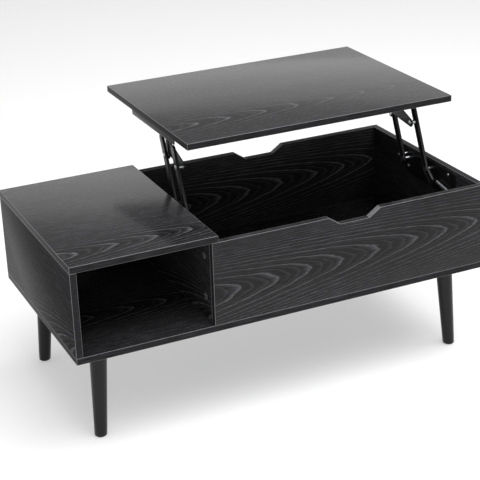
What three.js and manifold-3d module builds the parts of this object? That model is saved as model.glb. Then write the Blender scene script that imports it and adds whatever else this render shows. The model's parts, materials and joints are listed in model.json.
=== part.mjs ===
// Lift top coffee table: a box carcass on four turned legs, an open cubby on the left, a storage
// compartment on the right, and a top that swings up and back on two four-bar lift linkages.
// Millimetres, +Z up. Pieces are laid out from the carcass's front-left corner on the floor:
// x runs right, y runs back, z runs up. The whole table is centred at the end.
import * as THREE from "three";
import { mergeVertices } from "three/addons/utils/BufferGeometryUtils.js";
import Module from "manifold-3d";

const wasm = await Module();
wasm.setup();
const { Manifold, Mesh: SolidMesh } = wasm;

// Overall sizes
const LENGTH = 1000;
const DEPTH = 490;
const HEIGHT = 430;
const BOARD = 15;
const FLOOR_GAP = 208; // underside of the bottom board
const LEFT_BAY = 329; // width of the fixed top, out to the divider's right face
const TOP_GAP = 2; // gap between the fixed top and the lift top

// Faces that several pieces share
const BOTTOM_TOP = FLOOR_GAP + BOARD;
const RIM = HEIGHT - BOARD; // top edge of the panels
const BACK_INNER = DEPTH - BOARD;
const DIVIDER_LEFT = LEFT_BAY - BOARD;
const RIGHT_INNER = LENGTH - BOARD;

// The lift top is stored raised
const LIFT_BACK = 151; // how far back the raised top has moved
const LIFT_UNDER = 570.5; // underside of the raised top

// Finger notches, centred in the front and back panels' top edges
const NOTCH_TOP = 130;
const NOTCH_BOTTOM = 74;
const NOTCH_DEEP = 19;

// Legs
const FOOT_IN_X = 55; // foot centre from the table's end
const FOOT_IN_Y = 50; // foot centre from the table's front or back
const LEG_LEAN = 12.5; // how far the leg's top lies further in, both ways
const FOOT_R = 13.75;
const LEG_TOP_R = 19.5;
const LEG_PLATE = 56;
const LEG_PLATE_T = 2.5;
const GLIDE_R = 11;
const GLIDE_T = 2;
const GLIDE_NAIL_R = 1.5;
const GLIDE_NAIL_TOP = 12;
const BOLT_R = 4;
const BOLT_LOW = 178;
const BOLT_HIGH = 219;
const GAP = 0.3; // left between a piece and the pieces it is screwed or pressed into

// Lift linkage, in the plane of one side panel (y, z)
const BASE_Z = 392;
const FRONT_BASE = [204, BASE_Z];
const PIVOT_SPAN = 88;
const REAR_BASE = [FRONT_BASE[0] + PIVOT_SPAN, BASE_Z];
const ARM_REACH = 115.32;
const ARM_RAISED = THREE.MathUtils.degToRad(66);
const ARM_R = 8.5; // half the width of an arm
const ARM_SHEET = 1.6; // the arms are pressed channels, open away from the panel
const ARM_HEAD = 42; // arm past its top pivot
const REAR_TAIL = 4; // rear arm past its base pivot
const TAIL_REACH = 34; // front arm's bent tail, which the spring pulls
const TAIL_TURN = THREE.MathUtils.degToRad(218.5);
const SPRING_ANCHOR = [112, 359];

// Linkage layers, as distances out from the panel's inner face
const PLATE_LAYER = [0, 2];
const SPRING_LAYER = 7.5;
const FRONT_ARM_LAYER = [13.5, 19.5];
const REAR_ARM_LAYER = [22.5, 28.5];
const RAIL_LAYER = [31.5, 33.5];
const FLANGE_LAYER = [4, 33.5];
const LIP_LAYER = [4, 6];
const PIN_R = 3.5;
const PIN_HOLE_R = 3.65;
const RIVET_HEAD_R = 6;
const RIVET_HEAD_T = 1.4;
const COLLAR_R = 5;
const RUNNING_GAP = 0.4; // along a pin, between an arm and a head or collar
const STOP_R = 3; // stop pin that the rear arm leans on when the top is raised
const STOP_UP = 12; // stop pin's place along the raised arm from its base pivot
const RAIL_T = 2;

// Extension spring
const SPRING_R = 4.1; // to the middle of the wire
const WIRE_R = 0.9;
const SPRING_TURNS = 12;
const SPRING_PIN_R = 2;
const HOOK_R = 3.7;
const STEPS_PER_TURN = 6;

// Screws and cam fittings
const SCREW_R = 1.9;
const SCREW_HOLE_R = 2.3;
const SCREW_HEAD_R = 4.2;
const SCREW_HEAD_T = 2;
const SCREW_IN = 10;
const CAM_R = 7;
const CAM_IN = 12;
const CAM_CAP_R = 7.8;
const CAM_CAP_T = 1;
const CAM_Y = 45; // cam centre from the front or back of the carcass
const CAM_Z = [275, 371];

const ROUND = 16; // sides of a small round
const LEG_SIDES = 28;

const FINISHES = {
  laminate: { color: 0x2c2b2c, roughness: 0.42, metalness: 0 },
  lacquer: { color: 0x121213, roughness: 0.25, metalness: 0 },
  black_steel: { color: 0x1b1c1d, roughness: 0.5, metalness: 0.3 },
  zinc: { color: 0xb9bcc0, roughness: 0.35, metalness: 1 },
  spring_steel: { color: 0x8d9095, roughness: 0.3, metalness: 1 },
  grey_plastic: { color: 0xa9a9a7, roughness: 0.55, metalness: 0 },
  glide_plastic: { color: 0x242424, roughness: 0.6, metalness: 0 },
};

const table = new THREE.Group();
table.name = "lift_top_coffee_table";

function piece(name, finish, geometry) {
  const mesh = new THREE.Mesh(geometry, new THREE.MeshStandardMaterial(FINISHES[finish]));
  mesh.name = name;
  mesh.material.name = finish;
  table.add(mesh);
}

// ---- solids ----

function solid(geometry) {
  const loose = geometry.index ? geometry.toNonIndexed() : geometry;
  const bare = new THREE.BufferGeometry();
  bare.setAttribute("position", loose.getAttribute("position"));
  const merged = mergeVertices(bare, 1e-4);
  return new Manifold(
    new SolidMesh({
      numProp: 3,
      vertProperties: Float32Array.from(merged.attributes.position.array),
      triVerts: Uint32Array.from(merged.index.array),
    }),
  );
}

function geometryOf(made) {
  const mesh = made.getMesh();
  const geometry = new THREE.BufferGeometry();
  const corners = Float32Array.from(mesh.vertProperties);
  geometry.setAttribute("position", new THREE.BufferAttribute(corners, 3));
  geometry.setIndex(new THREE.BufferAttribute(Uint32Array.from(mesh.triVerts), 1));
  geometry.computeVertexNormals();
  return geometry;
}

const cut = (body, tools) =>
  geometryOf(tools.reduce((left, tool) => left.subtract(solid(tool)), solid(body)));

const join = (pieces) => geometryOf(Manifold.union(pieces.map(solid)));

function block([x0, x1], [y0, y1], [z0, z1]) {
  const box = new THREE.BoxGeometry(x1 - x0, y1 - y0, z1 - z0);
  return box.translate((x0 + x1) / 2, (y0 + y1) / 2, (z0 + z1) / 2);
}

// A turned solid from [radius, height] steps, standing on +Z
function turned(steps, sides = ROUND) {
  const profile = [[0, steps[0][1]], ...steps, [0, steps.at(-1)[1]]];
  const points = profile.map(([r, h]) => new THREE.Vector2(r, h));
  return new THREE.LatheGeometry(points, sides).rotateX(Math.PI / 2);
}

const rod = (radius, low, high, sides = ROUND) =>
  turned([[radius, low], [radius, high]], sides);

function outline(points, holes = []) {
  const shape = new THREE.Shape(points.map(([u, v]) => new THREE.Vector2(u, v)));
  for (const hole of holes) {
    shape.holes.push(new THREE.Path(hole.map(([u, v]) => new THREE.Vector2(u, v))));
  }
  return shape;
}

// Points on a circle from one angle to another, in degrees
function arc([u, v], radius, from, to, steps = 6) {
  const points = [];
  for (let i = 0; i <= steps; i++) {
    const turn = THREE.MathUtils.degToRad(from + ((to - from) * i) / steps);
    points.push([u + radius * Math.cos(turn), v + radius * Math.sin(turn)]);
  }
  return points;
}

const circle = (centre, radius) => arc(centre, radius, 0, 360, ROUND).slice(0, -1);

const along = ([u, v], turn, reach) => [u + reach * Math.cos(turn), v + reach * Math.sin(turn)];

// ---- carcass ----

function notchedPanel([y0, y1]) {
  const middle = (DIVIDER_LEFT + LENGTH) / 2;
  const shape = outline([
    [DIVIDER_LEFT, BOTTOM_TOP],
    [LENGTH, BOTTOM_TOP],
    [LENGTH, RIM],
    [middle + NOTCH_TOP / 2, RIM],
    [middle + NOTCH_BOTTOM / 2, RIM - NOTCH_DEEP],
    [middle - NOTCH_BOTTOM / 2, RIM - NOTCH_DEEP],
    [middle - NOTCH_TOP / 2, RIM],
    [DIVIDER_LEFT, RIM],
  ]);
  const panel = new THREE.ExtrudeGeometry(shape, { depth: y1 - y0, bevelEnabled: false });
  return panel.rotateX(Math.PI / 2).translate(0, y1, 0);
}

// ---- legs ----

const corners = [
  ["front_left", 1, 1],
  ["front_right", -1, 1],
  ["back_left", 1, -1],
  ["back_right", -1, -1],
].map(([name, sx, sy]) => ({
  name,
  foot: [sx > 0 ? FOOT_IN_X : LENGTH - FOOT_IN_X, sy > 0 ? FOOT_IN_Y : DEPTH - FOOT_IN_Y],
  lean: [sx * LEG_LEAN, sy * LEG_LEAN],
}));

// Stands a solid made on +Z along a leg's own slanted centreline
function lean(geometry, corner) {
  const axis = new THREE.Vector3(corner.lean[0], corner.lean[1], FLOOR_GAP).normalize();
  const turn = new THREE.Quaternion().setFromUnitVectors(new THREE.Vector3(0, 0, 1), axis);
  return geometry.applyQuaternion(turn).translate(corner.foot[0], corner.foot[1], 0);
}

function legParts(corner) {
  const overrun = 20;
  const flare = (LEG_TOP_R - FOOT_R) / FLOOR_GAP;
  const shaft = turned(
    [
      [FOOT_R - flare * overrun, -overrun],
      [LEG_TOP_R + flare * overrun, FLOOR_GAP + overrun],
    ],
    LEG_SIDES,
  );
  const around = [-LENGTH, 2 * LENGTH];
  const slab = block(around, around, [GLIDE_T + GAP, FLOOR_GAP - LEG_PLATE_T - GAP]);
  const trimmed = geometryOf(solid(lean(shaft, corner)).intersect(solid(slab)));
  const boltHole = lean(rod(BOLT_R + GAP, BOLT_LOW - 1, BOLT_HIGH + 1), corner);
  const nailHole = rod(GLIDE_NAIL_R + GAP, -1, GLIDE_NAIL_TOP + GAP);
  nailHole.translate(corner.foot[0], corner.foot[1], 0);
  piece(`leg_${corner.name}`, "lacquer", cut(trimmed, [boltHole, nailHole]));

  const [cx, cy] = [0, 1].map((i) => corner.foot[i] + corner.lean[i]);
  const half = LEG_PLATE / 2;
  const plate = block(
    [cx - half, cx + half],
    [cy - half, cy + half],
    [FLOOR_GAP - LEG_PLATE_T, FLOOR_GAP],
  );
  piece(`leg_plate_${corner.name}`, "black_steel", cut(plate, [boltHole]));

  const bolt = lean(rod(BOLT_R, BOLT_LOW, BOLT_HIGH), corner);
  piece(`hanger_bolt_${corner.name}`, "zinc", bolt);

  const glide = turned([
    [GLIDE_R - 0.5, 0],
    [GLIDE_R, 0.5],
    [GLIDE_R, GLIDE_T],
    [GLIDE_NAIL_R, GLIDE_T],
    [GLIDE_NAIL_R, GLIDE_NAIL_TOP],
  ]);
  glide.translate(corner.foot[0], corner.foot[1], 0);
  piece(`foot_glide_${corner.name}`, "glide_plastic", glide);
  return boltHole;
}

// ---- lift linkage ----

const FRONT_TOP = along(FRONT_BASE, ARM_RAISED, ARM_REACH);
const REAR_TOP = along(REAR_BASE, ARM_RAISED, ARM_REACH);
const RAIL_FRONT = 230;
const RAIL_BACK = 482;
const RAIL_LOW = 558.5;
const RAIL_SCREWS = [262, 456];
const WEB_STEP = 10; // height of the shoulders where an ear leaves the rail
const WEB_FRONT = 318; // front end of the rail's deeper part
const WEB_BACK = 362; // back end of it
const EAR_R = 10; // half the width of an ear
const REAR_EAR_TOP = 535; // where the rear ear's front edge meets the strut
const STRUT_END = 514; // underside of the strut at the rear ear
const STRUT_TURN = 20.7; // slope of the strut, in degrees
const RAIL_SCREW_OUT = 12;
const PLATE_FRONT = 100;
const PLATE_BACK = 324;
const PLATE_LOW = 347;
const PLATE_HIGH = 411;
const PLATE_SCREWS = [
  [130, 398],
  [304, 366],
];
const STOP_PIN = along(
  along(REAR_BASE, ARM_RAISED, STOP_UP),
  ARM_RAISED - Math.PI / 2,
  ARM_R + STOP_R + GAP,
);

const sides = [
  { name: "left", face: LEFT_BAY, out: 1 },
  { name: "right", face: RIGHT_INNER, out: -1 },
];

// A flat steel piece parallel to the side panels, from one layer distance to another
function flat(side, shape, [near, far]) {
  const sheet = new THREE.ExtrudeGeometry(shape, { depth: far - near, bevelEnabled: false });
  const upright = new THREE.Matrix4().makeBasis(
    new THREE.Vector3(0, 1, 0),
    new THREE.Vector3(0, 0, 1),
    new THREE.Vector3(1, 0, 0),
  );
  const start = side.out > 0 ? side.face + near : side.face - far;
  return sheet.applyMatrix4(upright).translate(start, 0, 0);
}

// A turned piece across the linkage: heights become distances out from the panel
function across(side, [y, z], steps, sideCount = ROUND) {
  return turned(steps, sideCount)
    .rotateY((side.out * Math.PI) / 2)
    .translate(side.face, y, z);
}

// The front arm: a bar through both pivots, with a bent tail below
function frontArmShape(radius, holes) {
  const rise = THREE.MathUtils.radToDeg(ARM_RAISED);
  const fall = THREE.MathUtils.radToDeg(TAIL_TURN);
  const head = along(FRONT_TOP, ARM_RAISED, ARM_HEAD);
  const tail = along(FRONT_BASE, TAIL_TURN, TAIL_REACH);
  const bend = (fall - 180 - rise) / 2;
  const corner = radius / Math.cos(THREE.MathUtils.degToRad(bend));
  const hollow = along(FRONT_BASE, THREE.MathUtils.degToRad(rise + 90 + bend), corner);
  return outline(
    [
      ...arc(head, radius, rise - 90, rise + 90),
      hollow,
      ...arc(tail, radius, fall - 90, fall + 90),
      ...arc(FRONT_BASE, radius, fall + 90, rise + 270, 3),
    ],
    holes,
  );
}

// The rear arm: a straight bar through both pivots
function rearArmShape(radius, holes) {
  const rise = THREE.MathUtils.radToDeg(ARM_RAISED);
  const head = along(REAR_TOP, ARM_RAISED, ARM_HEAD);
  const tail = along(REAR_BASE, ARM_RAISED, -REAR_TAIL);
  return outline(
    [...arc(head, radius, rise - 90, rise + 90), ...arc(tail, radius, rise + 90, rise + 270)],
    holes,
  );
}

// An arm pressed as a channel: a web bored for its two pivots, with a rim all round
function channelArm(side, shapeOf, pivots, [near, far]) {
  const bores = pivots.map((at) => circle(at, PIN_HOLE_R));
  const body = flat(side, shapeOf(ARM_R, bores), [near, far]);
  const hollow = flat(side, shapeOf(ARM_R - ARM_SHEET, []), [near + ARM_SHEET, far + 1]);
  return cut(body, [hollow]);
}

function springPath(side) {
  const tail = along(FRONT_BASE, TAIL_TURN, TAIL_REACH);
  const span = Math.hypot(tail[0] - SPRING_ANCHOR[0], tail[1] - SPRING_ANCHOR[1]);
  const lead = 9; // from a pin's centre to the first coil
  const coil = span - 2 * lead;
  const points = [];
  // Half-round hook behind the anchor pin, in the spring's own frame: u runs along the spring
  for (let i = 0; i <= 5; i++) {
    const turn = Math.PI / 2 + (i * Math.PI) / 5;
    points.push([HOOK_R * Math.cos(turn), HOOK_R * Math.sin(turn), 0]);
  }
  points.push([lead - 3, -HOOK_R, 0]);
  const steps = SPRING_TURNS * STEPS_PER_TURN;
  for (let i = 0; i <= steps; i++) {
    const turn = -Math.PI / 2 + (2 * Math.PI * i) / STEPS_PER_TURN;
    const u = lead + (coil * i) / steps;
    points.push([u, SPRING_R * Math.sin(turn), SPRING_R * Math.cos(turn)]);
  }
  points.push([span - lead + 3, -HOOK_R, 0]);
  for (let i = 0; i <= 5; i++) {
    const turn = -Math.PI / 2 + (i * Math.PI) / 5;
    points.push([span + HOOK_R * Math.cos(turn), HOOK_R * Math.sin(turn), 0]);
  }
  const tilt = Math.atan2(tail[1] - SPRING_ANCHOR[1], tail[0] - SPRING_ANCHOR[0]);
  return points.map(([u, v, w]) => {
    const y = SPRING_ANCHOR[0] + u * Math.cos(tilt) - v * Math.sin(tilt);
    const z = SPRING_ANCHOR[1] + u * Math.sin(tilt) + v * Math.cos(tilt);
    return new THREE.Vector3(side.face + side.out * (SPRING_LAYER + w), y, z);
  });
}

function spring(side) {
  const points = springPath(side);
  const path = new THREE.CatmullRomCurve3(points, false, "centripetal");
  const wire = outline(arc([0, 0], WIRE_R, 0, 360, 5).slice(0, -1));
  return new THREE.ExtrudeGeometry(wire, { steps: points.length - 1, extrudePath: path });
}

// The rail's inner web: a strip under the top, an ear down to the rear pivot, and a strut from that ear
// forward to the front pivot
function railShape() {
  return outline(
    [
      [RAIL_FRONT, LIFT_UNDER],
      [RAIL_FRONT, RAIL_LOW],
      [WEB_FRONT, RAIL_LOW],
      [REAR_TOP[0] - EAR_R - 2, RAIL_LOW - WEB_STEP],
      [REAR_TOP[0] - EAR_R - 2, REAR_EAR_TOP],
      ...arc(FRONT_TOP, EAR_R, STRUT_TURN + 90, STRUT_TURN + 270),
      [REAR_TOP[0] - EAR_R, STRUT_END],
      ...arc(REAR_TOP, EAR_R, 180, 360),
      [REAR_TOP[0] + EAR_R + 3, RAIL_LOW - WEB_STEP],
      [WEB_BACK, RAIL_LOW],
      [RAIL_BACK, RAIL_LOW],
      [RAIL_BACK, LIFT_UNDER],
    ],
    [circle(FRONT_TOP, PIN_HOLE_R), circle(REAR_TOP, PIN_HOLE_R)],
  );
}

function plateShape() {
  return outline(
    [
      [PLATE_FRONT + 6, PLATE_LOW],
      [PLATE_BACK - 44, PLATE_LOW],
      [PLATE_BACK - 4, PLATE_LOW + 11],
      [PLATE_BACK, PLATE_LOW + 15],
      [PLATE_BACK, PLATE_HIGH - 6],
      [PLATE_BACK - 6, PLATE_HIGH],
      [PLATE_FRONT + 12, PLATE_HIGH],
      [PLATE_FRONT, PLATE_HIGH - 12],
      [PLATE_FRONT, PLATE_LOW + 6],
    ],
    [
      circle(FRONT_BASE, PIN_R + GAP),
      circle(REAR_BASE, PIN_R + GAP),
      circle(SPRING_ANCHOR, SPRING_PIN_R + GAP),
      circle(STOP_PIN, STOP_R / 2 + GAP),
      ...PLATE_SCREWS.map((at) => circle(at, SCREW_HOLE_R)),
    ],
  );
}

// A pivot pin fixed in the base plate, with a collar below its arm's web and a rivet head above it
function basePin(side, at, near) {
  const head = near + ARM_SHEET + RUNNING_GAP;
  const collarTop = near - RUNNING_GAP;
  return across(side, at, [
    [PIN_R, GAP],
    [PIN_R, collarTop - 1],
    [COLLAR_R, collarTop - 1],
    [COLLAR_R, collarTop],
    [PIN_R, collarTop],
    [PIN_R, head],
    [RIVET_HEAD_R, head],
    [RIVET_HEAD_R - 1, head + RIVET_HEAD_T],
  ]);
}

// A pivot pin fixed in the rail, headed at both ends, with a spacer between rail and arm
function topPin(side, at, near) {
  const low = near - RUNNING_GAP;
  const spacer = near + ARM_SHEET + RUNNING_GAP;
  const outer = RAIL_LAYER[1] + GAP;
  return across(side, at, [
    [RIVET_HEAD_R - 1, low - RIVET_HEAD_T],
    [RIVET_HEAD_R, low],
    [PIN_R, low],
    [PIN_R, spacer],
    [COLLAR_R, spacer],
    [COLLAR_R, RAIL_LAYER[0] - GAP],
    [PIN_R, RAIL_LAYER[0] - GAP],
    [PIN_R, outer],
    [RIVET_HEAD_R, outer],
    [RIVET_HEAD_R - 1, outer + RIVET_HEAD_T],
  ]);
}

const screwSteps = (seat) => [
  [SCREW_R * 0.4, seat - SCREW_IN - 2],
  [SCREW_R, seat - SCREW_IN + 1],
  [SCREW_R, seat],
  [SCREW_HEAD_R, seat],
  [SCREW_HEAD_R, seat + SCREW_HEAD_T * 0.5],
  [SCREW_HEAD_R * 0.6, seat + SCREW_HEAD_T],
];

function linkage(side) {
  const tail = along(FRONT_BASE, TAIL_TURN, TAIL_REACH);
  piece(`${side.name}_base_plate`, "black_steel", flat(side, plateShape(), PLATE_LAYER));

  // The tail's spring pin is riveted into the front arm, so the two are one piece
  const tailPin = across(side, tail, [
    [SPRING_PIN_R, 3],
    [SPRING_PIN_R, FRONT_ARM_LAYER[0] + ARM_SHEET],
  ]);
  const frontArm = channelArm(side, frontArmShape, [FRONT_BASE, FRONT_TOP], FRONT_ARM_LAYER);
  piece(`${side.name}_front_arm`, "black_steel", join([frontArm, tailPin]));
  const rearArm = channelArm(side, rearArmShape, [REAR_BASE, REAR_TOP], REAR_ARM_LAYER);
  piece(`${side.name}_rear_arm`, "black_steel", rearArm);

  const web = flat(side, railShape(), RAIL_LAYER);
  const ends = (layer) => layer.map((d) => side.face + side.out * d).sort((a, b) => a - b);
  const run = [RAIL_FRONT, RAIL_BACK];
  const flange = block(ends(FLANGE_LAYER), run, [LIFT_UNDER - RAIL_T, LIFT_UNDER]);
  const lip = block(ends(LIP_LAYER), run, [RAIL_LOW, LIFT_UNDER]);
  const screwX = side.face + side.out * RAIL_SCREW_OUT;
  const screwHoles = RAIL_SCREWS.map((y) =>
    rod(SCREW_HOLE_R, LIFT_UNDER - 5, LIFT_UNDER + 5).translate(screwX, y, 0),
  );
  piece(`${side.name}_top_rail`, "black_steel", cut(join([web, flange, lip]), screwHoles));

  piece(`${side.name}_spring`, "spring_steel", spring(side));
  const anchor = across(side, SPRING_ANCHOR, [
    [SPRING_PIN_R, GAP],
    [SPRING_PIN_R, SPRING_LAYER + 4],
    [SPRING_PIN_R + 1, SPRING_LAYER + 4],
    [SPRING_PIN_R + 1, SPRING_LAYER + 5],
  ]);
  piece(`${side.name}_spring_anchor_pin`, "zinc", anchor);
  const stop = across(side, STOP_PIN, [
    [STOP_R / 2, GAP],
    [STOP_R / 2, PLATE_LAYER[1] + GAP],
    [STOP_R, PLATE_LAYER[1] + GAP],
    [STOP_R, REAR_ARM_LAYER[1] + 1],
  ]);
  piece(`${side.name}_stop_pin`, "zinc", stop);

  piece(`${side.name}_front_base_pin`, "zinc", basePin(side, FRONT_BASE, FRONT_ARM_LAYER[0]));
  piece(`${side.name}_rear_base_pin`, "zinc", basePin(side, REAR_BASE, REAR_ARM_LAYER[0]));
  piece(`${side.name}_front_top_pin`, "zinc", topPin(side, FRONT_TOP, FRONT_ARM_LAYER[0]));
  piece(`${side.name}_rear_top_pin`, "zinc", topPin(side, REAR_TOP, REAR_ARM_LAYER[0]));

  PLATE_SCREWS.forEach((at, i) => {
    const screw = across(side, at, screwSteps(PLATE_LAYER[1]));
    piece(`${side.name}_plate_screw_${i + 1}`, "zinc", screw);
  });
  RAIL_SCREWS.forEach((y, i) => {
    const screw = turned(screwSteps(0)).rotateX(Math.PI);
    screw.translate(screwX, y, LIFT_UNDER - RAIL_T);
    piece(`${side.name}_rail_screw_${i + 1}`, "zinc", screw);
  });
}

// Holes for the linkage's screws, with room for their points
const plateScrewHoles = (side) =>
  PLATE_SCREWS.map((at) => across(side, at, [
    [SCREW_HOLE_R, -SCREW_IN - 1],
    [SCREW_HOLE_R, 1],
  ]));

const railScrewHoles = sides.flatMap((side) =>
  RAIL_SCREWS.map((y) =>
    rod(SCREW_HOLE_R, LIFT_UNDER - 1, LIFT_UNDER + SCREW_IN + 1).translate(
      side.face + side.out * RAIL_SCREW_OUT,
      y,
      0,
    ),
  ),
);

// ---- cam fittings in the divider, reached from the cubby ----

const cams = ["front", "back"].flatMap((end, i) =>
  CAM_Z.map((z, j) => ({
    name: `cam_fitting_${end}_${j + 1}`,
    at: [i === 0 ? CAM_Y : DEPTH - CAM_Y, z],
  })),
);
const cubbyFace = { face: DIVIDER_LEFT, out: -1 };
const camSteps = (radius, deep, cap) => [
  [radius, -deep],
  [radius, 0],
  ...(cap ? [[CAM_CAP_R, 0], [CAM_CAP_R - 0.3, CAM_CAP_T]] : [[radius, 1]]),
];

// ---- assembly ----

const boltHoles = corners.map(legParts);

piece(
  "fixed_top",
  "laminate",
  block([0, LEFT_BAY], [0, DEPTH], [RIM, HEIGHT]),
);
piece(
  "lift_top",
  "laminate",
  cut(
    block(
      [LEFT_BAY + TOP_GAP, LENGTH],
      [LIFT_BACK, LIFT_BACK + DEPTH],
      [LIFT_UNDER, LIFT_UNDER + BOARD],
    ),
    railScrewHoles,
  ),
);
piece("bottom_board", "laminate", cut(
  block([0, LENGTH], [0, DEPTH], [FLOOR_GAP, BOTTOM_TOP]),
  boltHoles,
));
piece("left_side_panel", "laminate", block([0, BOARD], [0, DEPTH], [BOTTOM_TOP, RIM]));
piece(
  "divider_panel",
  "laminate",
  cut(block([DIVIDER_LEFT, LEFT_BAY], [BOARD, BACK_INNER], [BOTTOM_TOP, RIM]), [
    ...plateScrewHoles(sides[0]),
    ...cams.map((cam) => across(cubbyFace, cam.at, camSteps(CAM_R + GAP, CAM_IN + GAP, false))),
  ]),
);
piece(
  "right_side_panel",
  "laminate",
  cut(
    block([RIGHT_INNER, LENGTH], [BOARD, BACK_INNER], [BOTTOM_TOP, RIM]),
    plateScrewHoles(sides[1]),
  ),
);
piece("front_panel", "laminate", notchedPanel([0, BOARD]));
piece("storage_back_panel", "laminate", notchedPanel([BACK_INNER, DEPTH]));
piece(
  "cubby_back_panel",
  "laminate",
  block([BOARD, DIVIDER_LEFT], [BACK_INNER, DEPTH], [BOTTOM_TOP, RIM]),
);

for (const cam of cams) {
  piece(cam.name, "grey_plastic", across(cubbyFace, cam.at, camSteps(CAM_R, CAM_IN, true)));
}

sides.forEach(linkage);

table.position.set(-LENGTH / 2, -(DEPTH + LIFT_BACK) / 2, 0);

export default table;
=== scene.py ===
"""Lift top coffee table in black ash-grain laminate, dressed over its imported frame."""

import json
import math

import bmesh
import bpy
from mathutils import Matrix, Vector


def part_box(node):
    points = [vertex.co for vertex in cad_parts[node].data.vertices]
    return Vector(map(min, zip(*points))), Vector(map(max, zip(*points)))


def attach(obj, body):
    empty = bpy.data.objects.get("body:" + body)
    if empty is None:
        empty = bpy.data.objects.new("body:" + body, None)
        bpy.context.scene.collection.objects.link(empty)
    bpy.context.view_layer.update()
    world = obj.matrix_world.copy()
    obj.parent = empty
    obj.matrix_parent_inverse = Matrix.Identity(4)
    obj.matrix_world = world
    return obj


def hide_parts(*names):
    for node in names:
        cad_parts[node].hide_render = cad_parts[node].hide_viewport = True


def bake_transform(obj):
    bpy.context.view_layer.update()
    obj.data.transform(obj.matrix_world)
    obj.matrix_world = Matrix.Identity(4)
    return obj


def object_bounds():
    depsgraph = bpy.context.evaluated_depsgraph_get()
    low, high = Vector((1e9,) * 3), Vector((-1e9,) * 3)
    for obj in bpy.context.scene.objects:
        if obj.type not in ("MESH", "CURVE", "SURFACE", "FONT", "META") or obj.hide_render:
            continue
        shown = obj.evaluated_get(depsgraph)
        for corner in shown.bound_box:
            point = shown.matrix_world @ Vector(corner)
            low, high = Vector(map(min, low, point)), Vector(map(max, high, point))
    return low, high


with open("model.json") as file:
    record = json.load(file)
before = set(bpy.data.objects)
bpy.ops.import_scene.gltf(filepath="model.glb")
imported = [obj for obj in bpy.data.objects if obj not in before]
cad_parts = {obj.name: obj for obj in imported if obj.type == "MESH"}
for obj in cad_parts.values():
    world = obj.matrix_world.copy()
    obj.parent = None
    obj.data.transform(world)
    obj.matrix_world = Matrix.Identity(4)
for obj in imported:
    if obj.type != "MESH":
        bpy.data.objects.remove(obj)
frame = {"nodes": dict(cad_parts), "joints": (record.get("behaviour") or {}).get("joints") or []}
cad_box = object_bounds()

MM = 0.001
SIDES = ("left", "right")
NUMBERS = ("1", "2")
CORNERS = ("front_left", "front_right", "back_left", "back_right")
JOINTS = {joint["name"]: joint for joint in frame["joints"]}
LOW, HIGH = 0, 1
X, Y, Z = 0, 1, 2


# ---- materials ----


def hex_colour(code):
    """An sRGB hex colour as linear red, green, blue and alpha."""
    channels = [int(code[i : i + 2], 16) / 255 for i in (1, 3, 5)]
    linear = [c / 12.92 if c <= 0.04045 else ((c + 0.055) / 1.055) ** 2.4 for c in channels]
    return (*linear, 1.0)


def add(tree, kind, inputs=None, **settings):
    """Adds a node. Inputs take plain values, sockets, or other nodes' first outputs."""
    made = tree.nodes.new("ShaderNode" + kind)
    for name, value in settings.items():
        setattr(made, name, value)
    for name, value in (inputs or {}).items():
        if isinstance(value, bpy.types.Node):
            value = value.outputs[0]
        if isinstance(value, bpy.types.NodeSocket):
            tree.links.new(value, made.inputs[name])
        else:
            made.inputs[name].default_value = value
    return made


MIX_COLOUR = {"data_type": "RGBA", "clamp_factor": True}
MIX_A, MIX_B, MIX_OUT = 6, 7, 2


def new_material(name):
    """An empty node material and its tree, with the surface and output linked."""
    made = bpy.data.materials.new(name)
    made.use_nodes = True
    tree = made.node_tree
    tree.nodes.clear()
    surface = add(tree, "BsdfPrincipled")
    add(tree, "OutputMaterial", {"Surface": surface})
    return made, tree, surface


def set_surface(tree, surface, **values):
    """Sets or links the surface's sockets, named in lower case with underscores."""
    for name, value in values.items():
        socket = surface.inputs[name.replace("_", " ").title().replace("Ior", "IOR")]
        if isinstance(value, bpy.types.NodeSocket):
            tree.links.new(value, socket)
        else:
            socket.default_value = value


# Black melamine laminate on particle board: a printed ash grain under a clear wear layer, pressed
# between embossed plates. The cathedral figure reads as thin pale lines on near-black, the pores
# as fine streaks along the grain, and the wear layer as a satin gloss that mirrors what is low
# behind a flat top.
LAMINATE_DARK = hex_colour("#131314")
LAMINATE_LIGHT = hex_colour("#6a6a6e")
RING_STEP = 86.5 * MM  # spacing of the growth rings along the middle of a cathedral
RING_TIP = 5.5 * MM  # radius that sets how blunt a cathedral's tip is
PORE_WIDE = 1.5 * MM  # drawn wider than the real 0.3 mm so that it shows
PORE_LONG = 45 * MM
LAMINATE_IOR = 1.38
WANDER = ((2.5, 9.0), 62 * MM)  # the figure's slow wander: features per metre along and across, size
WOBBLE = ((14.0, 60.0), 34 * MM)
FEATHER = ((80.0, 420.0), 11 * MM)
FINE_RINGS = 3.0  # faint rings to each strong one
LATE_FROM = 0.66  # share of a ring at which its late wood begins to pale
LATE_TO = 0.95  # and at which it is palest
LATE_POWER = 2.6  # thins the late wood to a line
FINE_FROM = 0.6  # share of a faint ring at which its line begins
FINE_MOST = 0.28  # how pale that line gets
COLUMN_SHIFT = 0.37  # metres along the grain from one column's tips to the next's
PORE_NOISE = (0.42, 0.72)  # the part of the noise that is drawn as pores
PORE_WEIGHT = 0.17  # how pale a pore is where there is no ring
PATCH_NOISE = (0.3, 0.7)
PATCH_LEAST = 0.45  # what a dark patch leaves of the figure


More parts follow.
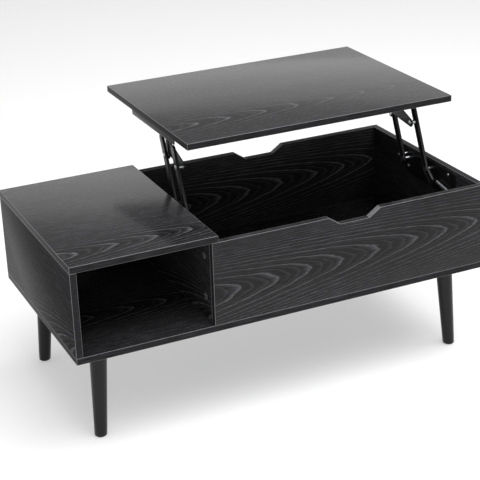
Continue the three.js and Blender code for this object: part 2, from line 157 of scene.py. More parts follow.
def ash_laminate(
    name,
    along,
    across,
    middle,
    slope=0.0,
    phase=0.0,
    column=420 * MM,
    seed=0.0,
    sheen=0.5,
):
    """Cathedral grain running along one axis, its middle line at that place across the other.

    The line climbs by the slope, columns of the figure repeat at their spacing, and the sheen is
    the surface's specular level, highest on the lift top and lowest on the side panels.
    """
    made, tree, surface = new_material(name)
    place = add(tree, "SeparateXYZ", {0: add(tree, "TexCoord").outputs["Object"]})
    u = place.outputs[along]
    v = place.outputs[across]
    laid = add(tree, "CombineXYZ", {0: u, 1: v, 2: seed})

    # How far each ring strays along the grain: a slow wander, a wobble and a feathered edge
    stray = 0.0
    for (long_scale, wide_scale), size in (WANDER, WOBBLE, FEATHER):
        scale = (long_scale, wide_scale, 1.0)
        stretched = add(tree, "VectorMath", {0: laid, 1: scale}, operation="MULTIPLY")
        noise = add(tree, "TexNoise", {"Vector": stretched, "Scale": 1.0, "Detail": 2.0})
        centred = add(tree, "Math", {0: noise, 1: 0.5}, operation="SUBTRACT")
        stray = add(tree, "Math", {0: centred, 1: size, 2: stray}, operation="MULTIPLY_ADD")

    # Distance across from the middle line of the nearest cathedral column
    rise = add(tree, "Math", {0: u, 1: slope, 2: middle}, operation="MULTIPLY_ADD")
    off = add(tree, "Math", {0: v, 1: rise}, operation="SUBTRACT")
    columns = add(tree, "Math", {0: off, 1: column}, operation="DIVIDE")
    nearest = add(tree, "Math", {0: columns}, operation="ROUND")
    inside = add(tree, "Math", {0: columns, 1: nearest}, operation="SUBTRACT")
    across_it = add(tree, "Math", {0: inside, 1: column}, operation="MULTIPLY")

    # Parabola-shaped rings: the height along the grain at which this point's ring has its tip
    squared = add(tree, "Math", {0: across_it, 1: across_it}, operation="MULTIPLY")
    spread = add(tree, "Math", {0: squared, 1: 0.5 / RING_TIP, 2: u}, operation="MULTIPLY_ADD")
    shift = add(tree, "Math", {0: nearest, 1: COLUMN_SHIFT, 2: spread}, operation="MULTIPLY_ADD")
    tip = add(tree, "Math", {0: shift, 1: stray}, operation="ADD")
    rings = add(tree, "Math", {0: tip, 1: 1 / RING_STEP, 2: phase}, operation="MULTIPLY_ADD")
    in_ring = add(tree, "Math", {0: rings}, operation="FRACT")
    late = add(tree, "MapRange", {0: in_ring, 1: LATE_FROM, 2: LATE_TO, 3: 0.0, 4: 1.0})
    early = add(tree, "MapRange", {0: in_ring, 1: LATE_TO, 2: 1.0, 3: 1.0, 4: 0.0})
    figure = add(tree, "Math", {0: late, 1: early}, operation="MULTIPLY")
    sharp = add(tree, "Math", {0: figure, 1: LATE_POWER}, operation="POWER")
    finer = add(tree, "Math", {0: rings, 1: FINE_RINGS}, operation="MULTIPLY")
    in_fine = add(tree, "Math", {0: finer}, operation="FRACT")
    faint = add(tree, "MapRange", {0: in_fine, 1: FINE_FROM, 2: 1.0, 3: 0.0, 4: FINE_MOST})
    both = add(tree, "Math", {0: sharp, 1: faint}, operation="MAXIMUM")

    # Pores: short pale dashes along the grain, which also break up the rings
    pore_scale = (1 / PORE_LONG, 1 / PORE_WIDE, 1.0)
    dashes = add(tree, "VectorMath", {0: laid, 1: pore_scale}, operation="MULTIPLY")
    pores = add(tree, "TexNoise", {"Vector": dashes, "Scale": 1.0, "Detail": 3.0, "Roughness": 0.6})
    dash = add(tree, "MapRange", {0: pores, 1: PORE_NOISE[LOW], 2: PORE_NOISE[HIGH], 3: 0.0, 4: 1.0})
    broken = add(tree, "Math", {0: dash, 1: 0.7, 2: 0.55}, operation="MULTIPLY_ADD")
    line = add(tree, "Math", {0: both, 1: broken}, operation="MULTIPLY")

    # Broad pale and dark patches of the print
    slow = add(tree, "VectorMath", {0: laid, 1: (2.0, 7.0, 1.0)}, operation="MULTIPLY")
    patches = add(tree, "TexNoise", {"Vector": slow, "Scale": 1.0, "Detail": 1.0})
    kept = {0: patches, 1: PATCH_NOISE[LOW], 2: PATCH_NOISE[HIGH], 3: PATCH_LEAST, 4: 1.0}
    patch = add(tree, "MapRange", kept)

    grain = add(tree, "Math", {0: dash, 1: PORE_WEIGHT, 2: line}, operation="MULTIPLY_ADD")
    toned = add(tree, "Math", {0: grain, 1: patch}, operation="MULTIPLY")
    colour = add(tree, "Mix", {0: toned, MIX_A: LAMINATE_DARK, MIX_B: LAMINATE_LIGHT}, **MIX_COLOUR)
    rough = add(tree, "MapRange", {0: grain, 3: 0.15, 4: 0.34})
    emboss = add(tree, "Bump", {"Height": grain, "Strength": 0.16, "Distance": 0.12 * MM})
    set_surface(
        tree,
        surface,
        base_color=colour.outputs[MIX_OUT],
        roughness=rough.outputs[0],
        normal=emboss.outputs[0],
        ior=LAMINATE_IOR,
        specular_ior_level=sheen,
    )
    return made


# Edge banding: a thin black strip glued round each board, printed with straight grain; the pale line at
# its arris is a painted highlight.
def edge_band(name, along, across):
    """Straight streaks along one axis of the board's edge."""
    made, tree, surface = new_material(name)
    place = add(tree, "SeparateXYZ", {0: add(tree, "TexCoord").outputs["Object"]})
    laid = add(tree, "CombineXYZ", {0: place.outputs[along], 1: place.outputs[across]})
    pore_scale = (1 / PORE_LONG, 1 / PORE_WIDE, 1.0)
    drawn = add(tree, "VectorMath", {0: laid, 1: pore_scale}, operation="MULTIPLY")
    streaks = add(tree, "TexNoise", {"Vector": drawn, "Scale": 1.0, "Detail": 4.0})
    tone = add(tree, "MapRange", {0: streaks, 1: 0.4, 2: 0.75})
    between = {0: tone, MIX_A: hex_colour("#1b1b1c"), MIX_B: hex_colour("#38383a")}
    colour = add(tree, "Mix", between, **MIX_COLOUR)
    emboss = add(tree, "Bump", {"Height": tone, "Strength": 0.12, "Distance": 0.1 * MM})
    set_surface(
        tree,
        surface,
        base_color=colour.outputs[MIX_OUT],
        roughness=0.35,
        normal=emboss.outputs[0],
        ior=LAMINATE_IOR,
        specular_ior_level=0.05,
    )
    return made


# The arris of a banded board: a painted highlight, drawn as a pale grey line of mottled tone.
def painted_arris_highlight():
    made, tree, surface = new_material("painted_highlight_arris")
    place = add(tree, "TexCoord").outputs["Object"]
    highlight_mottle = add(tree, "TexNoise", {"Vector": place, "Scale": 1 / (8 * MM), "Detail": 3.0})
    between = {0: highlight_mottle, MIX_A: hex_colour("#4a4a4c"), MIX_B: hex_colour("#77777a")}
    colour = add(tree, "Mix", between, **MIX_COLOUR)
    rough = add(tree, "MapRange", {0: highlight_mottle, 3: 0.25, 4: 0.4})
    set_surface(
        tree,
        surface,
        base_color=colour.outputs[MIX_OUT],
        roughness=rough.outputs[0],
        ior=LAMINATE_IOR,
    )
    return made


# Turned rubberwood under sprayed black lacquer: a smooth, fairly glossy skin through which the
# grain telegraphs as faint ripples along the leg.
def lacquered_wood():
    made, tree, surface = new_material("black_lacquered_rubberwood")
    place = add(tree, "TexCoord").outputs["Object"]
    drawn = add(tree, "VectorMath", {0: place, 1: (260.0, 260.0, 9.0)}, operation="MULTIPLY")
    ripple = add(tree, "TexNoise", {"Vector": drawn, "Scale": 1.0, "Detail": 3.0})
    between = {0: ripple, MIX_A: hex_colour("#0a0a0b"), MIX_B: hex_colour("#141415")}
    colour = add(tree, "Mix", between, **MIX_COLOUR)
    rough = add(tree, "MapRange", {0: ripple, 3: 0.2, 4: 0.3})
    relief = add(tree, "Bump", {"Height": ripple, "Strength": 0.1, "Distance": 0.2 * MM})
    set_surface(
        tree,
        surface,
        base_color=colour.outputs[MIX_OUT],
        roughness=rough.outputs[0],
        normal=relief.outputs[0],
        coat_weight=0.12,
        coat_roughness=0.1,
        ior=1.5,
        specular_ior_level=0.2,
    )
    return made


# Pressed mild steel, powder-coated black: an even semi-gloss skin with a fine orange-peel dimple.
PEEL = 1.2 * MM


def powder_coat():
    made, tree, surface = new_material("black_powder_coated_steel")
    place = add(tree, "TexCoord").outputs["Object"]
    peel = add(tree, "TexNoise", {"Vector": place, "Scale": 1 / PEEL, "Detail": 2.0})
    wear = add(tree, "TexNoise", {"Vector": place, "Scale": 1 / (40 * MM), "Detail": 3.0})
    between = {0: wear, MIX_A: hex_colour("#0c0c0d"), MIX_B: hex_colour("#171718")}
    colour = add(tree, "Mix", between, **MIX_COLOUR)
    rough = add(tree, "MapRange", {0: wear, 3: 0.26, 4: 0.4})
    dimple = add(tree, "Bump", {"Height": peel, "Strength": 0.15, "Distance": 0.05 * MM})
    set_surface(
        tree,
        surface,
        base_color=colour.outputs[MIX_OUT],
        roughness=rough.outputs[0],
        normal=dimple.outputs[0],
        ior=1.5,
        specular_ior_level=0.3,
    )
    return made


# Zinc-plated steel pins and screws: barrelled, then plated and cleared, so a bright grey metal
# with a slightly mottled shine.
def zinc_plate():
    made, tree, surface = new_material("bright_zinc_plated_steel")
    place = add(tree, "TexCoord").outputs["Object"]
    mottle = add(tree, "TexNoise", {"Vector": place, "Scale": 1 / (2.5 * MM), "Detail": 3.0})
    between = {0: mottle, MIX_A: hex_colour("#a9adb1"), MIX_B: hex_colour("#d3d5d7")}
    colour = add(tree, "Mix", between, **MIX_COLOUR)
    rough = add(tree, "MapRange", {0: mottle, 3: 0.22, 4: 0.42})
    set_surface(
        tree,
        surface,
        base_color=colour.outputs[MIX_OUT],
        roughness=rough.outputs[0],
        metallic=1.0,
    )
    return made


# Cold-drawn spring wire, oiled: darker than the plated parts, with fine draw marks.
def spring_wire():
    made, tree, surface = new_material("drawn_spring_steel")
    place = add(tree, "TexCoord").outputs["Object"]
    marks = add(tree, "TexNoise", {"Vector": place, "Scale": 1 / (0.8 * MM), "Detail": 2.0})
    between = {0: marks, MIX_A: hex_colour("#6f7277"), MIX_B: hex_colour("#a2a5a9")}
    colour = add(tree, "Mix", between, **MIX_COLOUR)
    rough = add(tree, "MapRange", {0: marks, 3: 0.25, 4: 0.4})
    set_surface(
        tree,
        surface,
        base_color=colour.outputs[MIX_OUT],
        roughness=rough.outputs[0],
        metallic=1.0,
    )
    return made


# Injection-moulded plastic with a fine spark-eroded texture: polypropylene for the cam caps, nylon
# for the foot glides.
def moulded_plastic(name, dark, light, roughness):
    made, tree, surface = new_material(name)
    place = add(tree, "TexCoord").outputs["Object"]
    spark = add(tree, "TexNoise", {"Vector": place, "Scale": 1 / (0.6 * MM), "Detail": 2.0})
    flow = add(tree, "TexNoise", {"Vector": place, "Scale": 1 / (12 * MM), "Detail": 2.0})
    between = {0: flow, MIX_A: hex_colour(dark), MIX_B: hex_colour(light)}
    colour = add(tree, "Mix", between, **MIX_COLOUR)
    rough = add(tree, "MapRange", {0: spark, 3: roughness - 0.08, 4: roughness + 0.08})
    texture = add(tree, "Bump", {"Height": spark, "Strength": 0.2, "Distance": 0.05 * MM})
    set_surface(
        tree,
        surface,
        base_color=colour.outputs[MIX_OUT],
        roughness=rough.outputs[0],
        normal=texture.outputs[0],
        ior=1.49,
    )
    return made


LACQUER = lacquered_wood()
STEEL = powder_coat()
ZINC = zinc_plate()
WIRE = spring_wire()
CAP_PLASTIC = moulded_plastic("grey_polypropylene", "#505050", "#606060", 0.5)
GLIDE_PLASTIC = moulded_plastic("black_nylon", "#161616", "#232323", 0.5)
ARRIS_HIGHLIGHT_PAINT = painted_arris_highlight()


# ---- making pieces ----


def seat_in(node, first, second):
    """The middle of a CAD node's box along two axes."""
    low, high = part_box(node)
    return Vector(((low[first] + high[first]) / 2, (low[second] + high[second]) / 2))


def smooth(mesh, degrees=30):
    """Smooth shading, except across edges sharper than that."""
    made = bmesh.new()
    made.from_mesh(mesh)
    for face in made.faces:
        face.smooth = True
    for edge in made.edges:
        if len(edge.link_faces) == 2:
            edge.smooth = edge.calc_face_angle(0) < math.radians(degrees)
    made.to_mesh(mesh)
    made.free()


def piece(name, mesh, body, materials, replaced):
    """A finished piece in place of CAD nodes, riding on a body unless the body is None."""
    obj = bpy.data.objects.new(name, mesh)
    bpy.context.collection.objects.link(obj)
    for material in materials:
        mesh.materials.append(material)
    if body is not None:
        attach(obj, body)
    if replaced:
        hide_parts(*replaced)
    return obj


def mesh_from(name, made):
    """A mesh datablock from a bmesh, which is freed."""
    bmesh.ops.recalc_face_normals(made, faces=made.faces)
    mesh = bpy.data.meshes.new(name)
    made.to_mesh(mesh)
    made.free()
    return mesh


def ring_at(made, centre, radius, sides):
    """Points round a level circle, added to a bmesh."""
    ring = []
    for i in range(sides):
        turn = 2 * math.pi * i / sides
        x = centre[0] + radius * math.cos(turn)
        y = centre[1] + radius * math.sin(turn)
        ring.append(made.verts.new((x, y, centre[2])))
    return ring


def skin(made, rings):
    """Joins each ring of points to the next, and closes the first and the last."""
    for low, high in zip(rings, rings[1:]):
        count = len(low)
        for i in range(count):
            j = (i + 1) % count
            made.faces.new((low[i], low[j], high[j], high[i]))
    made.faces.new(rings[0])
    made.faces.new(rings[-1])


def prism(outline, axis, low, high):
    """A bmesh block: an outline in the other two axes, drawn out along one axis."""
    made = bmesh.new()
    rings = []
    for depth in (low, high):
        ring = []
        for point in outline:
            place = list(point)
            place.insert(axis, depth)
            ring.append(made.verts.new(place))
        rings.append(ring)
    skin(made, rings)
    bmesh.ops.recalc_face_normals(made, faces=made.faces)
    return made


def turned(steps, sides):
    """A bmesh turned about +Z from (radius, height) steps, closed at both ends on the axis."""
    made = bmesh.new()
    rings = [ring_at(made, (0, 0, height), radius, sides) for radius, height in steps]
    skin(made, rings)
    return made


def placed(name, made, place):
    """The smooth-shaded mesh of a bmesh stood in its place."""
    made.transform(place)
    mesh = mesh_from(name, made)
    smooth(mesh, 35)
    return mesh


def stand(point, direction):
    """The matrix that stands a solid made on +Z at a point, along a direction."""
    turn = Vector((0, 0, 1)).rotation_difference(Vector(direction)).to_matrix().to_4x4()
    return Matrix.Translation(point) @ turn


# ---- boards ----

# The rounded arris is painted pale grey as a highlight line
ARRIS = 0.9 * MM  # buffed rounding where the edge band meets the face

bands = {(X, Z): edge_band("edge_band_lengthwise", X, Z), (Y, Z): edge_band("edge_band_depthwise", Y, Z)}


def rectangle(low, high, first, second):
    """The four corners of a box seen along its third axis."""
    return [
        (low[first], low[second]),
        (high[first], low[second]),
        (high[first], high[second]),
        (low[first], high[second]),
    ]


def board(node, body, thick, grain, outline=None):
    """An edge-banded board in place of a CAD board: printed faces, banded edges, eased arrises."""
    low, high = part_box(node)
    if outline is None:
        outline = rectangle(low, high, *[axis for axis in (X, Y, Z) if axis != thick])
    made = prism(outline, thick, low[thick], high[thick])
    bmesh.ops.bevel(
        made,
        geom=made.edges[:],
        offset=ARRIS,
        segments=3,
        affect="EDGES",
        profile=0.5,
        clamp_overlap=True,
    )
    # Sloping faces are arrises, and flat faces that look along the board are its banded edges
    for face in made.faces:
        face.material_index = 0
        if max(abs(part) for part in face.normal) < 0.97:
            face.material_index = 3
        elif abs(face.normal[thick]) < 0.9:
            face.material_index = 2 if abs(face.normal[X]) > 0.7 else 1
    mesh = mesh_from(node + "_board", made)
    smooth(mesh)
    # The arris faces take the pale grey painted highlight
    materials = [grain, bands[X, Z], bands[Y, Z], ARRIS_HIGHLIGHT_PAINT]
    piece(node + "_board", mesh, body, materials, [node])


NOTCH_MOUTH = 65 * MM  # half the finger notch's width at the panel's top edge
NOTCH_FOOT = 37 * MM  # and at its foot
NOTCH_DEEP = 19 * MM


def notched_outline(node):
    """A panel's outline in x and z, with the finger notch in its top edge."""
    low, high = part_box(node)
    middle = (low[X] + high[X]) / 2
    return [
        (low[X], low[Z]),
        (high[X], low[Z]),
        (high[X], high[Z]),
        (middle + NOTCH_MOUTH, high[Z]),
        (middle + NOTCH_FOOT, high[Z] - NOTCH_DEEP),
        (middle - NOTCH_FOOT, high[Z] - NOTCH_DEEP),
        (middle - NOTCH_MOUTH, high[Z]),
        (low[X], high[Z]),
    ]


fixed_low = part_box("fixed_top")[LOW]
lift_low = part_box("lift_top")[LOW]
front_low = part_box("front_panel")[LOW]

# Where each board's cathedral runs: its middle line, clear of the board on the side panels
top_line = fixed_low[Y] + 70 * MM
lift_line = lift_low[Y] + 120 * MM
front_line = front_low[Z] + 81 * MM
side_line = front_low[Z] - 25 * MM
floor_line = fixed_low[Y] + 170 * MM
back_line = fixed_low[X] + 150 * MM

top_grain = ash_laminate("ash_laminate_fixed_top", X, Y, top_line, 0.02, 0.3, seed=1.7, sheen=0.4)
lift_grain = ash_laminate("ash_laminate_lift_top", X, Y, lift_line, 0.03, 0.1, seed=4.1, sheen=0.62)
front_grain = ash_laminate("ash_laminate_front", X, Z, front_line, 0.055, 0.42, sheen=0.25)
side_grain = ash_laminate("ash_laminate_side", Y, Z, side_line, -0.1, 0.2, 700 * MM, 2.6, 0.006)
floor_grain = ash_laminate("ash_laminate_bottom", X, Y, floor_line, 0.0, 0.6, seed=6.2)
back_grain = ash_laminate("ash_laminate_upright", Z, X, back_line, 0.0, 0.5, seed=8.3)

board("fixed_top", "carcass", Z, top_grain)
board("lift_top", "lift_top", Z, lift_grain)
board("bottom_board", "carcass", Z, floor_grain)
board("left_side_panel", "carcass", X, side_grain)
board("divider_panel", "carcass", X, side_grain)
board("right_side_panel", "carcass", X, side_grain)
board("front_panel", "carcass", Y, front_grain, notched_outline("front_panel"))
board("storage_back_panel", "carcass", Y, front_grain, notched_outline("storage_back_panel"))
board("cubby_back_panel", "carcass", Y, back_grain)


# ---- legs ----

FOOT_R = 13.75 * MM
LEG_TOP_R = 19.5 * MM
LEG_RUN = 208 * MM  # from the floor to the bottom board
EASE = 1.2 * MM  # rounding at the ends of a leg
LEG_SIDES = 96


def leg(corner):
    """A turned leg standing splayed, its ends cut level."""
    low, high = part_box("leg_" + corner)
    foot = seat_in("foot_glide_" + corner, X, Y)
    head = seat_in("leg_plate_" + corner, X, Y)
    made = bmesh.new()
    rings = []
    levels = [(low[Z], -EASE), (low[Z] + EASE * 0.3, -EASE * 0.3), (low[Z] + EASE, 0)]
    levels += [(low[Z] + (high[Z] - low[Z]) * i / 12, 0) for i in range(1, 12)]
    levels += [(high[Z] - EASE, 0), (high[Z] - EASE * 0.3, -EASE * 0.3), (high[Z], -EASE)]
    for z, trim in levels:
        share = z / LEG_RUN
        radius = FOOT_R + (LEG_TOP_R - FOOT_R) * share + trim
        rings.append(ring_at(made, (*foot.lerp(head, share), z), radius, LEG_SIDES))
    skin(made, rings)
    mesh = mesh_from("turned_leg_" + corner, made)
    smooth(mesh, 50)
    piece("turned_leg_" + corner, mesh, "carcass", [LACQUER], ["leg_" + corner])


for corner in CORNERS:
    leg(corner)


# ---- lift linkage ----

# Layers as distances out from the panel's inner face
PLATE_LAYER = (0, 2 * MM)
SPRING_LAYER = 7.5 * MM
FRONT_ARM_LAYER = (13.5 * MM, 19.5 * MM)
REAR_ARM_LAYER = (22.5 * MM, 28.5 * MM)
RAIL_LAYER = (31.5 * MM, 33.5 * MM)
LIP_LAYER = (4 * MM, 6 * MM)
RAIL_T = 2 * MM
RAIL_DEEP = 12 * MM
WEB_FRONT = 21 * MM  # the rail's deeper part, from the rear pivot forwards
WEB_BACK = 23 * MM  # and backwards
WEB_STEP = 10 * MM  # how much deeper it is
EAR_R = 10 * MM  # half the width of an ear
STRUT_UP = 37.65 * MM  # where the strut's upper edge leaves the rear ear
STRUT_RISE = 33.2 * MM  # how much the strut climbs from the front pivot
CORNER_STEPS = 6  # steps round a filleted corner
CIRCLE_STEPS = 28
DOME_STEPS = 5
ARM_R = 8.5 * MM
ARM_SHEET = 1.6 * MM
ARM_HEAD = 42 * MM
REAR_TAIL = 4 * MM
TAIL_REACH = 34 * MM
TAIL_TURN = 218.5
PIN_R = 3.5 * MM
PIN_HOLE_R = 3.65 * MM
HEAD_R = 6 * MM
HEAD_T = 1.4 * MM
COLLAR_R = 5 * MM
RUNNING_GAP = 0.4 * MM
FIT_GAP = 0.3 * MM
STOP_R = 3 * MM
SCREW_R = 1.9 * MM
SCREW_HOLE_R = 2.3 * MM
SCREW_HEAD_R = 4.2 * MM
SCREW_HEAD_T = 2 * MM
SCREW_IN = 10 * MM


def joint_place(name):
    """A joint's place in the plane of the side panels."""
    return Vector(JOINTS[name]["pos_m"][Y:])


FRONT_BASE = joint_place("left_front_swing")
REAR_BASE = joint_place("lift")
REAR_TOP = joint_place("top_on_left_rear_arm")
FRONT_TOP = FRONT_BASE + REAR_TOP - REAR_BASE
ARM_LINE = (REAR_TOP - REAR_BASE).normalized()
ARM_TURN = math.degrees(math.atan2(ARM_LINE.y, ARM_LINE.x))
TAIL_LINE = Vector((math.cos(math.radians(TAIL_TURN)), math.sin(math.radians(TAIL_TURN))))
STRUT_TURN = math.degrees(math.atan2(STRUT_RISE, REAR_TOP.x - FRONT_TOP.x))


def arc(centre, radius, start, end, steps=10):
    """Points on a circle between two angles, in degrees."""
    points = []
    for i in range(steps + 1):
        turn = math.radians(start + (end - start) * i / steps)
        points.append(Vector((centre[0] + radius * math.cos(turn), centre[1] + radius * math.sin(turn))))
    return points


def circle(centre, radius):
    """Points round a whole circle, the last not repeated."""
    return arc(centre, radius, 0, 360, CIRCLE_STEPS)[:-1]


def rounded(corners):
    """An outline whose corners, given as (u, v, radius), are filleted."""
    points = []
    count = len(corners)
    for i, (u, v, radius) in enumerate(corners):
        here = Vector((u, v))
        before = (Vector(corners[i - 1][:2]) - here).normalized()
        after = (Vector(corners[(i + 1) % count][:2]) - here).normalized()
        half = before.angle(after) / 2
        centre = here + (before + after).normalized() * radius / math.sin(half)
        start = here + before * radius / math.tan(half) - centre
        end = here + after * radius / math.tan(half) - centre
        sweep = start.angle_signed(end)
        for step in range(CORNER_STEPS + 1):
            spin = Matrix.Rotation(-sweep * step / CORNER_STEPS, 2)
            points.append(centre + spin @ start)
    return points


def pressed(outline, holes, thickness, ease):
    """A flat sheet about the plane w = 0, with punched holes and eased edges, as a mesh."""
    curve = bpy.data.curves.new("outline", "CURVE")
    curve.dimensions = "2D"
    curve.fill_mode = "BOTH"
    for ring in [outline] + holes:
        spline = curve.splines.new("POLY")
        spline.points.add(len(ring) - 1)
        for point, (u, v) in zip(spline.points, ring):
            point.co = (u, v, 0, 1)
        spline.use_cyclic_u = True
    curve.extrude = thickness / 2 - ease
    curve.bevel_depth = ease
    curve.bevel_resolution = 1
    curve.offset = -ease
    holder = bpy.data.objects.new("outline", curve)
    bpy.context.collection.objects.link(holder)
    bpy.context.view_layer.update()
    drawn = bpy.data.meshes.new_from_object(holder.evaluated_get(bpy.context.evaluated_depsgraph_get()))
    bpy.data.objects.remove(holder)
    bpy.data.curves.remove(curve)
    return drawn


def joined(name, meshes):
    """One mesh from several, with doubled points merged."""
    made = bmesh.new()
    for mesh in meshes:
        made.from_mesh(mesh)
        bpy.data.meshes.remove(mesh)
    bmesh.ops.remove_doubles(made, verts=made.verts[:], dist=0.002 * MM)
    return mesh_from(name, made)


def side_face(side):
    """The panel face that a side's linkage stands on, and which way it stands out."""
    low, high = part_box(side + "_base_plate")
    return (low[X], 1) if side == "left" else (high[X], -1)


def upright(side, layer):
    """The matrix that takes a flat sheet to its layer beside a side panel."""
    face, out = side_face(side)
    centre = face + out * (layer[0] + layer[1]) / 2
    return Matrix(((0, 0, 1, centre), (1, 0, 0, 0), (0, 1, 0, 0), (0, 0, 0, 1)))


def flat(name, side, outline, holes, layer, ease):
    """A pressed sheet standing in its layer beside a side panel."""
    mesh = pressed(outline, holes, layer[1] - layer[0], ease)
    mesh.transform(upright(side, layer))
    return joined(name, [mesh])


def across(side, at):
    """The matrix that stands a turned piece on the side panel at a place, pointing outwards."""
    face, out = side_face(side)
    return stand((face, at[0], at[1]), (out, 0, 0))


def turned_mesh(name, steps, place, sides=40):
    """A turned piece in its place, smooth-shaded."""
    return placed(name, turned(steps, sides), place)


def dome(radius, base, height):
    """Profile steps of a domed head, from its seat to its crown."""
    rim = height * 0.35
    profile = [(radius - 0.15 * MM, base), (radius, base + 0.15 * MM), (radius, base + rim)]
    for i in range(1, DOME_STEPS + 1):
        turn = math.pi / 2 * i / DOME_STEPS
        reach = max(radius * math.cos(turn), 0.2 * MM)
        profile.append((reach, base + rim + (height - rim) * math.sin(turn)))
    return profile


def front_arm_outline(radius):
    """The front arm's edge at that distance from its middle line, bent at the base pivot."""
    head = FRONT_TOP + ARM_LINE * ARM_HEAD
    tail = FRONT_BASE + TAIL_REACH * TAIL_LINE
    bend = (TAIL_TURN - 180 - ARM_TURN) / 2
    inner = ARM_TURN + 90 + bend
    reach = radius / math.cos(math.radians(bend))
    hollow = FRONT_BASE + reach * Vector((math.cos(math.radians(inner)), math.sin(math.radians(inner))))
    return [
        *arc(head, radius, ARM_TURN - 90, ARM_TURN + 90),
        hollow,
        *arc(tail, radius, TAIL_TURN - 90, TAIL_TURN + 90),
        *arc(FRONT_BASE, radius, TAIL_TURN + 90, ARM_TURN + 270, 5),
    ]


def rear_arm_outline(radius):
    """The rear arm's edge at that distance from its middle line."""
    head = REAR_TOP + ARM_LINE * ARM_HEAD
    tail = REAR_BASE - ARM_LINE * REAR_TAIL
    return [
        *arc(head, radius, ARM_TURN - 90, ARM_TURN + 90),
        *arc(tail, radius, ARM_TURN + 90, ARM_TURN + 270),
    ]


def channel(name, side, outline, pivots, layer):
    """A pressed channel arm: a web with its two pivot holes, and a rim all round standing off it."""
    near, far = layer
    bores = [circle(at, PIN_HOLE_R) for at in pivots]
    web = flat(name + "_web", side, outline(ARM_R), bores, (near, near + ARM_SHEET), 0.5 * MM)
    rim = flat(name + "_rim", side, outline(ARM_R), [outline(ARM_R - ARM_SHEET)], (near, far), 0.5 * MM)
    return joined(name, [web, rim])


def rail_outline(side):
    """The rail's web: a strip under the top, an ear to the rear pivot and a strut to the front one."""
    low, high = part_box(side + "_top_rail")
    edge = high[Z] - RAIL_DEEP
    shoulder = edge - WEB_STEP
    before = [
        (low[Y], high[Z], 0.5 * MM),
        (low[Y], edge, 3 * MM),
        (REAR_TOP.x - WEB_FRONT, edge, 8 * MM),
        (REAR_TOP.x - EAR_R - 2 * MM, shoulder, 4 * MM),
        (REAR_TOP.x - EAR_R - 2 * MM, REAR_TOP.y + STRUT_UP, 3 * MM),
    ]
    after = [
        (REAR_TOP.x + EAR_R + 3 * MM, shoulder, 8 * MM),
        (REAR_TOP.x + WEB_BACK, edge, 4 * MM),
        (high[Y], edge, 3 * MM),
        (high[Y], high[Z], 0.5 * MM),
    ]
    # The two ears stand in for the front pivot's corner
    points = rounded([*before, (*FRONT_TOP, 0.1 * MM), *after])
    first = len(before) * (CORNER_STEPS + 1)
    ears = arc(FRONT_TOP, EAR_R, STRUT_TURN + 90, STRUT_TURN + 270, 14)
    ears += arc(REAR_TOP, EAR_R, 180, 360, 14)
    return [*points[:first], *ears, *points[first + CORNER_STEPS + 1 :]]


def plate_outline(side):
    """The base plate's outline: square-ended, with its lower edge cut up towards the back."""
    low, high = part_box(side + "_base_plate")
    return rounded(
        [
            (low[Y], low[Z], 8 * MM),
            (low[Y] + 180 * MM, low[Z], 30 * MM),
            (high[Y], low[Z] + 12 * MM, 5 * MM),
            (high[Y], high[Z], 7 * MM),
            (low[Y], high[Z], 10 * MM),
        ]
    )


# ---- springs ----

SPRING_R = 4.1 * MM
WIRE_R = 0.9 * MM
WIRE_SIDES = 8
SPRING_TURNS = 24
SPRING_PIN_R = 2 * MM
HOOK_R = 3.7 * MM
SPRING_LEAD = 9 * MM
TURN_STEPS = 18
HOOK_STEPS = 12


def tube(name, points, radius):
    """A round wire along a list of points, closed at both ends."""
    made = bmesh.new()
    rings = []
    normal = None
    for i, point in enumerate(points):
        ahead = points[min(i + 1, len(points) - 1)] - points[max(i - 1, 0)]
        ahead.normalize()
        normal = ahead.orthogonal() if normal is None else normal - ahead * normal.dot(ahead)
        normal.normalize()
        sideways = ahead.cross(normal)
        ring = []
        for j in range(WIRE_SIDES):
            turn = 2 * math.pi * j / WIRE_SIDES
            spoke = normal * math.cos(turn) + sideways * math.sin(turn)
            ring.append(made.verts.new(point + radius * spoke))
        rings.append(ring)
    skin(made, rings)
    mesh = mesh_from(name, made)
    smooth(mesh, 60)
    return mesh


def spring_points(side, anchor, tail):
    """A close-wound extension spring with a hook over each pin."""
    face, out = side_face(side)
    line = tail - anchor
    span = line.length
    coil = span - 2 * SPRING_LEAD
    path = []
    for i in range(HOOK_STEPS + 1):
        turn = math.pi / 2 + math.pi * i / HOOK_STEPS
        path.append((HOOK_R * math.cos(turn), HOOK_R * math.sin(turn), 0))
    path.append((SPRING_LEAD - 3 * MM, -HOOK_R, 0))
    steps = SPRING_TURNS * TURN_STEPS
    for i in range(steps + 1):
        turn = -math.pi / 2 + 2 * math.pi * i / TURN_STEPS
        path.append((SPRING_LEAD + coil * i / steps, SPRING_R * math.sin(turn), SPRING_R * math.cos(turn)))
    path.append((span - SPRING_LEAD + 3 * MM, -HOOK_R, 0))
    for i in range(HOOK_STEPS + 1):
        turn = -math.pi / 2 + math.pi * i / HOOK_STEPS
        path.append((span + HOOK_R * math.cos(turn), HOOK_R * math.sin(turn), 0))
    unit = line.normalized()
    points = []
    for u, v, w in path:
        y = anchor.x + u * unit.x - v * unit.y
        z = anchor.y + u * unit.y + v * unit.x
        points.append(Vector((face + out * (SPRING_LAYER + w), y, z)))
    return points


# ---- screws and caps ----


def cross_ring(reach, half):
    """The twelve corners of a cross recess."""
    points = []
    for quarter in range(4):
        spin = Matrix.Rotation(-quarter * math.pi / 2, 2)
        points += [spin @ Vector(corner) for corner in ((reach, -half), (reach, half), (half, half))]
    return points


